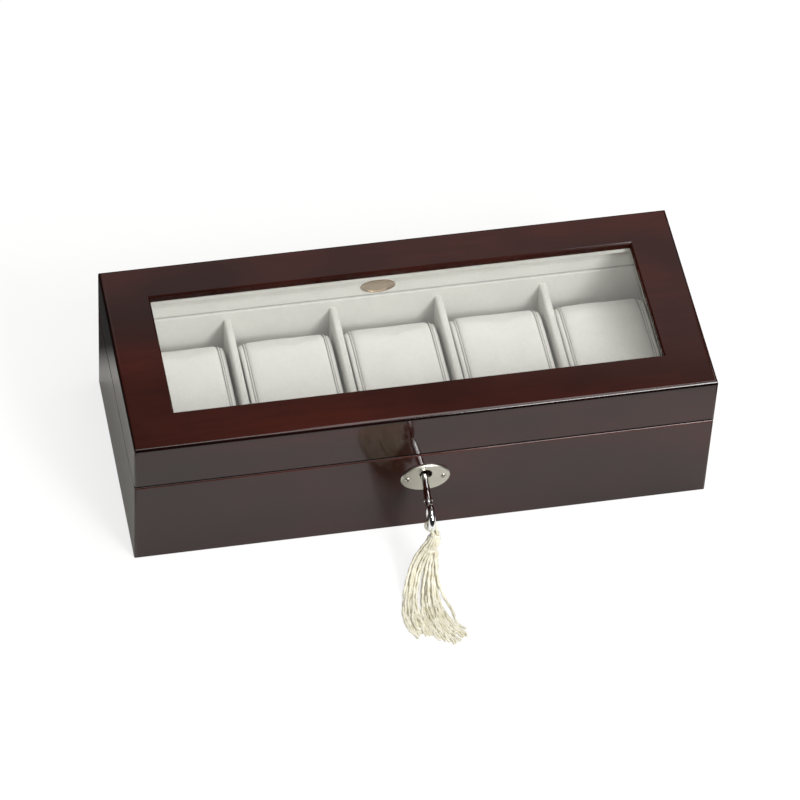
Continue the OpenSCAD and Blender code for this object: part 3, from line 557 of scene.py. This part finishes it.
LOOP_ROUTE = HANG + np.array([
    [1.18, -2.1, -10.06], [1.66, -2.1, -7.81], [2.13, -2.1, -5.56], [0.9, -1.75, -4.1],
    [-0.9, -1.1, -3.15], [-2.3, -0.5, -1.7], [-2.8, -0.1, 0.1], [-2.1, 0, 1.85],
    [-0.6, 0, 2.75], [1.1, 0, 2.6], [2.4, -0.1, 1.45], [2.87, -0.3, -0.3],
    [3, -0.8, -2], [3.2, -1.5, -3.7], [3.47, -2.1, -5.84], [2.99, -2.1, -8.09],
    [2.51, -2.1, -10.34]])


def in_head(points):
    """Points of the head, whose own Z runs along it from its top, put in place."""
    c, s = math.cos(HEAD_LEAN), math.sin(HEAD_LEAN)
    m = np.array([[c, 0, s], [0, 1, 0], [-s, 0, c]])
    return points @ m.T + HEAD_TOP


# Lines down the tassel, from its left side to its right
GUIDES = np.array([
    [[-6.0, -96.0, 16.6], [-11.6, -95.6, 14.4], [-15.2, -101.9, 9.5],
     [-17.7, -110.6, 5.0], [-20.0, -119.2, 2.6], [-19.6, -127.1, 1.3],
     [-17.7, -133.8, 0.9], [-14.9, -138.6, 0.8]],
    [[-5.1, -96.8, 16.6], [-8.9, -98.0, 13.0], [-12.1, -105.6, 8.6],
     [-15.2, -114.5, 5.0], [-17.3, -121.7, 2.6], [-17.8, -128.8, 1.4],
     [-16.4, -134.0, 0.9], [-15.0, -137.6, 0.8]],
    [[-4.0, -97.0, 16.6], [-6.7, -99.4, 12.6], [-9.8, -107.8, 8.4],
     [-12.2, -117.0, 5.0], [-13.1, -124.6, 2.8], [-12.3, -131.8, 1.5],
     [-9.7, -137.8, 0.9], [-6.9, -140.2, 0.8]],
    [[-3.0, -97.1, 16.6], [-4.8, -100.4, 12.6], [-7.3, -108.9, 8.4],
     [-9.1, -117.6, 5.2], [-9.1, -126.0, 3.0], [-7.4, -134.0, 1.6],
     [-5.3, -139.9, 0.9], [-2.7, -142.9, 0.8]],
    [[-2.0, -97.3, 16.6], [-3.1, -101.4, 12.6], [-5.1, -109.9, 8.4],
     [-6.2, -118.8, 5.2], [-5.7, -127.9, 3.0], [-4.0, -135.9, 1.6],
     [-1.9, -141.7, 0.9], [0.6, -145.4, 0.8]],
    [[-0.9, -97.5, 16.6], [-1.0, -101.5, 12.4], [-2.2, -110.2, 8.2],
     [-2.6, -119.8, 5.0], [-0.6, -129.3, 2.8], [2.4, -136.1, 1.5],
     [5.3, -140.2, 0.9], [7.8, -143.9, 0.8]],
    [[0.8, -98.1, 16.6], [1.2, -100.3, 12.2], [0.3, -107.7, 8.0],
     [-0.3, -116.6, 4.8], [-0.2, -124.6, 2.8], [2.9, -130.8, 1.5],
     [6.9, -135.0, 0.9], [10.4, -138.9, 0.8]]])
# Two lines that fall over the outside of the head, and one that bows out alone
OVER = np.array([
    [[-1.3, -96.7, 29.0], [-5.2, -96.5, 26.4], [-9.4, -95.6, 21.6], [-12.2, -96.5, 16.0],
     [-14.6, -101.2, 10.6], [-17.7, -110.6, 5.0], [-20.0, -119.1, 2.4],
     [-19.6, -127.1, 1.3], [-17.7, -133.8, 0.9], [-14.9, -138.6, 0.8]],
    [[-1.0, -97.5, 29.0], [-4.2, -97.6, 25.9], [-7.8, -97.0, 20.9], [-10.6, -98.8, 15.2],
     [-13.0, -104.8, 9.8], [-15.4, -113.9, 5.2], [-17.3, -121.7, 2.6],
     [-17.8, -128.8, 1.4], [-16.4, -134.0, 0.9], [-15.0, -137.6, 0.8]]])
LONER = np.array([[-0.6, -100.6, 16.4], [-1.0, -105.5, 12.6], [-0.7, -111.0, 9.4],
                  [1.2, -115.4, 5.8], [3.9, -121.6, 3.4], [4.9, -128.1, 1.6],
                  [4.0, -134.1, 0.9], [1.9, -139.6, 0.8]])


def strand_lines(steps=44):
    """Middle lines of the strands. Each is a Catmull-Rom curve through points part
    way between two guides, swayed by two sines and in one of three layers. A few
    more fall over the head, one bows out alone, and then all are settled."""
    rng = np.random.default_rng(7)
    lines = []
    for k in range(STRANDS):
        share = (k + 0.5) / STRANDS * (len(GUIDES) - 1)
        low, part = int(share), share % 1
        path = GUIDES[low] * (1 - part) + GUIDES[min(low + 1, len(GUIDES) - 1)] * part
        layer = (k * 2) % 3
        sway = rng.normal(0, 1, (2, 3))
        t = np.linspace(0, 1, len(path))[:, None]
        path = path + SWAY * (sway[0] * np.sin(2.6 * t) + sway[1] * np.sin(5 * t) * 0.3) \
            * [1, 0.7, 0]
        path[1:, 2] -= layer * LAYER_DROP
        path[-1, 1] += rng.uniform(-1.6, 2.4)
        turn = np.pi * (1.05 + 0.9 * k / STRANDS) + np.pi * (layer == 1)
        top = in_head(np.array([[1.8 * math.cos(turn), 1.6 * math.sin(turn), -10.6]]))
        lines.append(smooth_path(np.vstack([top, path]), steps))
    for k in range(STRANDS_OVER):
        part = k / (STRANDS_OVER - 1)
        path = OVER[0] * (1 - part) + OVER[1] * part
        path[1:-1, 1] += (1.1 * (k % 2)) * np.sin(np.linspace(0.4, 3, len(path) - 2))
        path[-1] += rng.uniform(-1.2, 1.2, 3) * [1, 1, 0]
        lines.append(smooth_path(path, steps))
    top = in_head(np.array([[1.9, -0.6, -10.6]]))
    lines.append(smooth_path(np.vstack([top, LONER]), steps))
    return settle(np.stack(lines), 2 * STRAND_R)


def settle(lines, apart, turns=70):
    """Pushes points of different strands apart to the given distance, restores each
    segment's length, evens out bends and keeps all above the table, in turns."""
    count, steps = lines.shape[:2]
    owner = np.repeat(np.arange(count), steps)
    length = np.linalg.norm(np.diff(lines, axis=1), axis=2).mean(1)[:, None, None]
    held = lines[:, :3].copy()
    other = owner[:, None] != owner[None, :]
    for _ in range(turns):
        p = lines.reshape(-1, 3)
        gap = p[:, None, :] - p[None, :, :]
        far = np.sqrt((gap ** 2).sum(2)) + 1e-9
        push = np.where((far < apart) & other, (apart - far) / far, 0)
        p = p + 0.22 * (gap * push[..., None]).sum(1)
        lines = p.reshape(count, steps, 3)
        lines[:, 1:-1] += 0.12 * (lines[:, 2:] + lines[:, :-2] - 2 * lines[:, 1:-1])
        for _ in range(3):
            step = lines[:, 1:] - lines[:, :-1]
            d = np.linalg.norm(step, axis=2, keepdims=True)
            fix = 0.5 * (d - length) / d * step
            lines[:, :-1] += fix
            lines[:, 1:] -= fix
            lines[:, :3] = held
        lines[:, 3:, 2] -= 0.05
        lines[..., 2] = np.maximum(lines[..., 2], STRAND_R + 0.05)
    return lines


def make_tassel():
    """The cord through the bow, the bound head and the strands. The head is yarn
    folded over the cord, ribbed from its crown down; its binding is a thin cord
    wound round it, and a thicker one is knotted round the loop above it."""
    loop_line = smooth_path(LOOP_ROUTE, 110)
    loop = piece("tassel_cord", [skin(tube(loop_line, CORD_R, 18, 3, 0.1, 1.6))], IVORY,
                 "tassel", 70, ["tassel_loop"])

    t = np.linspace(0, 1, 48)
    radius = np.interp(t, HEAD_AT, HEAD_R)
    head = turned(np.stack([radius, -0.2 - t * (HEAD_L - 0.4)], 1), 160)
    a = np.linspace(0, 2 * np.pi, 160, endpoint=False)
    rib = 1 - RIB_DEPTH * np.abs(np.cos(HEAD_RIBS / 2 * a[None, :] + 1.3 * t[:, None])) ** 3 \
        * np.clip(t * 5, 0, 1)[:, None]
    head[..., :2] *= rib[..., None]
    s = np.linspace(0, BINDING_TURNS, 240)
    wrap = np.stack([BINDING_R * np.cos(2 * np.pi * s), BINDING_R * np.sin(2 * np.pi * s),
                     BINDING_TOP - BINDING_STEP * s], 1)
    s = np.linspace(0, KNOT_TURNS, 110)
    knot = np.stack([(KNOT_R[0] + 0.12 * s) * np.cos(2 * np.pi * s),
                     (KNOT_R[1] + 0.12 * s) * np.sin(2 * np.pi * s),
                     KNOT_TOP - KNOT_STEP * s], 1)
    piece("tassel_head_yarn",
          [skin(in_head(head.reshape(-1, 3)).reshape(head.shape)),
           skin(tube(in_head(wrap), BINDING_CORD_R, 10, 2, 0.12, 2.2)),
           skin(tube(in_head(knot), CORD_R, 12, 3, 0.1, 1.6))],
          IVORY, "tassel", 60, ["tassel_head"])

    lines = strand_lines()
    piece("tassel_strands", [skin(tube(line, STRAND_R, 10, 2, 0.22, 0.5)) for line in lines],
          IVORY, "tassel", 70, ["tassel_skirt"])


make_tassel()


# key

def rod(profile, around=64):
    """Grid turned about the key's axis from (radius, y) pairs."""
    g = turned(profile, around)
    return np.stack([g[..., 0], g[..., 2], KEY_Z + g[..., 1]], axis=2)


def make_key():
    """Nose, bit, shank that swells to its collar, neck and ring-shaped bow."""
    face = PLATE_FACE
    swell = SHANK_R + SHANK_SWELL
    shank = [(0.4, NOSE_Y), (1.2, NOSE_Y), (1.5, NOSE_Y - 0.3), (1.5, BIT_BACK),
             (SHANK_R - 0.2, BIT_BACK), (SHANK_R, BIT_BACK - 0.2), (SHANK_R, face - 1),
             (SHANK_R + 0.1, face - 7), (swell - 0.05, face - 14), (swell, COLLAR_Y + 2.2),
             (swell - 0.02, COLLAR_Y + 1.2), (swell - 0.2, COLLAR_Y + 1.1),
             (swell - 0.2, COLLAR_Y + 1.0), (swell - 0.08, COLLAR_Y + 0.9),
             (swell - 0.12, COLLAR_Y + 0.5), (swell - 0.22, COLLAR_Y + 0.1),
             (2.0, COLLAR_Y - 0.3), (1.85, COLLAR_Y - 0.9), (1.8, COLLAR_Y - 1.6),
             (1.8, COLLAR_Y - 2.6), (1.0, BOW_Y + BOW_RING_R)]
    a = np.linspace(0, 2 * np.pi, 112, endpoint=False)[:, None]
    b = np.linspace(0, 2 * np.pi, 40, endpoint=False)[None, :]
    r = BOW_RING_R + BOW_BAR_R * np.cos(b)
    ring = np.stack([np.broadcast_to(BOW_BAR_R * np.sin(b), r.shape) + 0 * a,
                     BOW_Y + r * np.cos(a), KEY_Z + r * np.sin(a)], axis=2)
    u = soft_oval(*BIT_HALF, 12, 48)
    bit = np.stack([np.column_stack([f * u[:, 0], np.full(48, y), KEY_Z - BIT_DROP + f * u[:, 1]])
                    for y, f in ((BIT_FRONT, 0.9), (BIT_FRONT + 0.1, 1), (BIT_BACK - 0.1, 1),
                                 (BIT_BACK, 0.9))])
    parts = []
    for grid, loop in ((rod(shank), False), (ring, True), (bit, False)):
        p, f = skin(grid, loop)
        parts.append((turn_z(p, -KEY_YAW, (0, NOSE_Y, 0)), f))
    piece("key_polished", parts, CHROME, "key", 35, ["key"])


# cushions

def cushion_grid(around=112):
    """Rings of a cushion from its left side to its right, about its middle: a side
    panel drawn in by DRAW towards its centre, a welted BAND, a seam SEAM_DEPTH deep,
    and the wrap, crowned by CROWN. Also which points are the band, held when puffed.
    A ring is given by its x, its inset from the outline, or none on the side panel,
    and its share of the side panel."""
    w, seam = CUSHION_W / 2, CUSHION_W / 2 - BAND
    half = []
    for s in (0.04, 0.14, 0.26, 0.38, 0.5, 0.61, 0.71, 0.8, 0.87):
        half.append((w - DRAW * (1 - s ** 4) - 0.2, None, s))
    half += [(w - 0.28 * DRAW, 3.9, 1), (w - 0.08, 2.6 + CROWN, 1), (w - 0.05, 1.9 + CROWN, 1),
             (w - 0.16 * BAND, 1.25 + CROWN, 1), (w - 0.4 * BAND, 0.85 + CROWN, 1),
             (w - 0.65 * BAND, 0.75 + CROWN, 1), (w - 0.85 * BAND, 0.95 + CROWN, 1),
             (seam + 0.2 * BAND, CROWN + 1.7 * SEAM_DEPTH, 1),
             (seam - 0.2 * BAND, CROWN + 1.7 * SEAM_DEPTH, 1),
             (seam - 0.3 * BAND, CROWN * 0.95 + 0.1 * SEAM_DEPTH, 1)]
    for f in (0.93, 0.84, 0.74, 0.63, 0.52, 0.41, 0.3, 0.2, 0.1):
        half.append((f * (seam - 0.3 * BAND), CROWN * (f ** 4) * 0.85, 1))
    rings, tags = [], []
    for sign, run in ((-1, half), (0, [(0, 0, 1)]), (1, half[::-1])):
        for x, inset, s in run:
            if inset is None:
                ring = soft_oval((CUSHION_L / 2 - 4) * s, (CUSHION_H / 2 - 4) * s, SQUARE, around)
            else:
                ring = soft_oval(CUSHION_L / 2 - inset, CUSHION_H / 2 - inset, SQUARE, around)
            rings.append(np.column_stack([np.full(around, (sign or 1) * x), ring]))
            tags.append(inset is not None and x >= seam - 0.5)
    return np.array(rings), np.repeat(tags, around)


def puff(obj, held, pressure=3.5, frames=16, cap=0.45):
    """Cloth under pressure with the welted bands held. The cushion is worked ten
    times its size, and no point moves further than the cap, in millimetres."""
    mesh = obj.data
    n = len(mesh.vertices)
    rest = np.zeros(n * 3)
    mesh.vertices.foreach_get("co", rest)
    rest = rest.reshape(-1, 3)
    mesh.vertices.foreach_set("co", (rest * 10).ravel())
    group = obj.vertex_groups.new(name="held")
    group.add(np.nonzero(held)[0].tolist(), 1.0, "REPLACE")
    cloth = obj.modifiers.new("cloth", "CLOTH")
    s = cloth.settings
    s.quality, s.mass = 5, 0.3
    s.tension_stiffness = s.compression_stiffness = 30
    s.shear_stiffness, s.bending_stiffness = 12, 3
    s.use_pressure, s.uniform_pressure_force = True, pressure
    s.vertex_group_mass = "held"
    s.effector_weights.gravity = 0
    cloth.point_cache.frame_start, cloth.point_cache.frame_end = 1, frames
    scene = bpy.context.scene
    for f in range(1, frames + 1):
        scene.frame_set(f)
    done = obj.evaluated_get(bpy.context.evaluated_depsgraph_get()).to_mesh()
    out = np.zeros(n * 3)
    done.vertices.foreach_get("co", out)
    move = out.reshape(-1, 3) / 10 - rest
    far = np.linalg.norm(move, axis=1, keepdims=True)
    move *= np.minimum(1, cap * MM / np.maximum(far, 1e-9))
    obj.modifiers.remove(cloth)
    obj.vertex_groups.clear()
    mesh.vertices.foreach_set("co", (rest + move).ravel())
    scene.frame_set(1)


def lumps(points, seed, height):
    """A smooth random swelling: a sum of sines of random direction and phase."""
    rng = np.random.default_rng(seed)
    wave = rng.normal(0, 1 / LUMP_SIZE, (7, 3))
    phase = rng.uniform(0, 2 * np.pi, 7)
    return height * np.sin(points @ wave.T + phase).mean(1)


def make_cushions():
    """Five cushions, each a padded suede block with two piped seams."""
    for k in range(1, 6):
        grid, held = cushion_grid()
        swell = lumps(grid.reshape(-1, 3), 20 + k, LUMP_HEIGHT).reshape(grid.shape[:2])
        size = np.linalg.norm(grid[..., 1:], axis=2, keepdims=True)
        grid[..., 1:] *= 1 + np.where(held.reshape(grid.shape[:2]), 0.25, 1)[..., None] \
            * swell[..., None] / np.maximum(size, 12)
        centre = np.array([(k - 3) * SLOT_PITCH, 0, FLOOR_TOP + CUSHION_H / 2])
        p, f = skin(grid)
        obj = piece(f"cushion_{k}_suede", [(p, f)], CUSHION_CLOTH, f"cushion_{k}",
                    80, [f"cushion_{k}"])
        puff(obj, np.r_[held, [False, False]])
        n = len(obj.data.vertices)
        co = np.zeros(n * 3)
        obj.data.vertices.foreach_get("co", co)
        co = co.reshape(-1, 3) + centre * MM
        co[:, 2] = np.maximum(co[:, 2], (FLOOR_TOP - 0.1) * MM)
        obj.data.vertices.foreach_set("co", co.ravel())
        smooth = obj.modifiers.new("smooth", "SUBSURF")
        smooth.levels = smooth.render_levels = 1
        piping = []
        for side in (-1, 1):
            t = soft_oval(CUSHION_L / 2 - CROWN - PIPING_INSET,
                          CUSHION_H / 2 - CROWN - PIPING_INSET, SQUARE, 220)
            line = np.column_stack([np.full(220, side * (CUSHION_W / 2 - BAND)), t]) + centre
            step = unit(np.roll(line, -1, 0) - np.roll(line, 1, 0))
            out = np.cross(step, [side, 0, 0])
            a = np.linspace(0, 2 * np.pi, 8, endpoint=False)[None, :, None]
            ring = line[:, None] + PIPING_R * (np.cos(a) * np.array([1.0, 0, 0])
                                               + np.sin(a) * out[:, None])
            piping.append(skin(ring, True))
        piece(f"cushion_{k}_piping", piping, CUSHION_CLOTH, f"cushion_{k}", 80)


make_cushions()
make_key()


# stage, light

def sheet(name, x, y, z, look, face):
    """A level rectangle; the face gives the order of its corners."""
    mesh = bpy.data.meshes.new(name)
    mesh.from_pydata([(x[0], y[0], z), (x[1], y[0], z), (x[1], y[1], z), (x[0], y[1], z)], [],
                     [face])
    mesh.materials.append(look)
    obj = bpy.data.objects.new(name, mesh)
    bpy.context.scene.collection.objects.link(obj)
    return obj


def white_floor():
    """A wide pale floor. To the camera and through glass it adds enough white to
    read as the studio's white sheet, while shadows still show. In the lacquer it
    stays white round the box and darkens with distance, as a lit table does, and
    it is dark to the right of the box and behind it."""
    look = Look("studio_floor", Base_Color=(0.8, 0.8, 0.8, 1), Roughness=0.9,
                Specular_IOR_Level=0.0)
    path = look.add("ShaderNodeLightPath").outputs
    seen = look.math("MAXIMUM", path["Is Camera Ray"], path["Is Transmission Ray"])
    place = look.add("ShaderNodeNewGeometry").outputs["Position"]
    flat = look.add("ShaderNodeVectorMath", {0: place, 1: TABLE_SHAPE}, operation="MULTIPLY")
    away = look.add("ShaderNodeVectorMath", {0: flat.outputs[0]}, operation="LENGTH")
    at = look.axes(place)
    near = look.fade(away.outputs["Value"], *TABLE)
    near = look.math("MULTIPLY", near, look.fade(at["X"], *TABLE_RIGHT))
    near = look.math("MULTIPLY", near, look.fade(at["Y"], *TABLE_BACK))
    hide = look.math("SUBTRACT", path["Is Glossy Ray"], near, clamp=True)
    # A ray that came through the glass counts as glossy too, and still sees white
    hide = look.math("SUBTRACT", hide, seen, clamp=True)
    glow, dark = (look.add("ShaderNodeEmission", {"Color": (1, 1, 1, 1), "Strength": strength})
                  for strength in (SHEET_GLOW, SHEET_DARK))
    both = look.add("ShaderNodeMixShader", {0: look.math("MULTIPLY", seen, SHEET_SHARE),
                                            1: look.shader.outputs[0], 2: glow.outputs[0]})
    total = look.add("ShaderNodeMixShader", {0: hide, 1: both.outputs[0], 2: dark.outputs[0]})
    look.tree.links.new(total.outputs[0], look.tree.nodes["Material Output"].inputs["Surface"])
    floor = sheet("floor", (-8, 8), (-8, 8), 0, look.made, (0, 1, 2, 3))


def area_light(name, at, look_at, size, watts):
    """A rectangular softbox turned towards a point."""
    data = bpy.data.lights.new(name, "AREA")
    data.shape, data.size, data.size_y = "RECTANGLE", size[0], size[1]
    data.energy = watts
    lamp = bpy.data.objects.new(name, data)
    bpy.context.scene.collection.objects.link(lamp)
    lamp.location = at
    lamp.rotation_euler = (Vector(look_at) - Vector(at)).to_track_quat("-Z", "Y").to_euler()


def sky(tree):
    """Strength and colour of the world: full white for the camera and through
    glass, a faintly warm soft light, and in mirrors dark at the horizon."""
    path = node(tree, "ShaderNodeLightPath").outputs
    seen = node(tree, "ShaderNodeMath", {0: path["Is Camera Ray"],
                1: path["Is Transmission Ray"]}, operation="MAXIMUM").outputs[0]
    way = node(tree, "ShaderNodeTexCoord").outputs["Generated"]
    up = node(tree, "ShaderNodeSeparateXYZ", {0: way}).outputs["Z"]
    mirrored = node(tree, "ShaderNodeMapRange", {"Value": up, "From Min": 0.3, "From Max": 0.6,
                    "To Min": HORIZON, "To Max": WORLD_MIRRORED}).outputs[0]
    soft = node(tree, "ShaderNodeMix", {0: path["Is Glossy Ray"], 2: WORLD_SOFT, 3: mirrored},
                data_type="FLOAT").outputs[0]
    total = node(tree, "ShaderNodeMix", {0: seen, 2: soft, 3: 1.0}, data_type="FLOAT")
    tint = node(tree, "ShaderNodeMix", {0: seen, 6: WARM, 7: (1, 1, 1, 1)}, data_type="RGBA")
    return total.outputs[0], tint.outputs[2]


def back_card():
    """A grey card behind and above the box, seen only in the lacquer: it turns
    from dark to grey with distance, so that the lid greys towards its back."""
    look = bpy.data.materials.new("studio_card")
    look.use_nodes = True
    tree = look.node_tree
    tree.nodes.remove(tree.nodes["Principled BSDF"])
    place = node(tree, "ShaderNodeNewGeometry").outputs["Position"]
    slant = node(tree, "ShaderNodeVectorMath", {0: place, 1: CARD_SLANT},
                 operation="DOT_PRODUCT").outputs["Value"]
    grey = node(tree, "ShaderNodeMapRange", {"Value": slant, "From Min": CARD_FADE[0],
                "From Max": CARD_FADE[1], "To Min": WORLD_MIRRORED, "To Max": CARD_STRENGTH},
                interpolation_type="SMOOTHSTEP").outputs[0]
    glow = node(tree, "ShaderNodeEmission", {"Strength": grey})
    tree.links.new(glow.outputs[0], tree.nodes["Material Output"].inputs["Surface"])
    card = sheet("back_card", CARD_X, CARD_Y, CARD_Z, look, (0, 3, 2, 1))
    card.visible_camera = card.visible_diffuse = card.visible_shadow = False
    card.visible_transmission = False


def light_studio():
    """The softboxes, the card and the world."""
    for softbox in SOFTBOXES:
        area_light(*softbox)
    back_card()
    world = bpy.data.worlds.new("studio")
    world.use_nodes = True
    back = world.node_tree.nodes["Background"]
    strength, colour = sky(world.node_tree)
    world.node_tree.links.new(strength, back.inputs["Strength"])
    world.node_tree.links.new(colour, back.inputs["Color"])
    bpy.context.scene.world = world
    bpy.context.scene.view_settings.view_transform = "Standard"


white_floor()
light_studio()
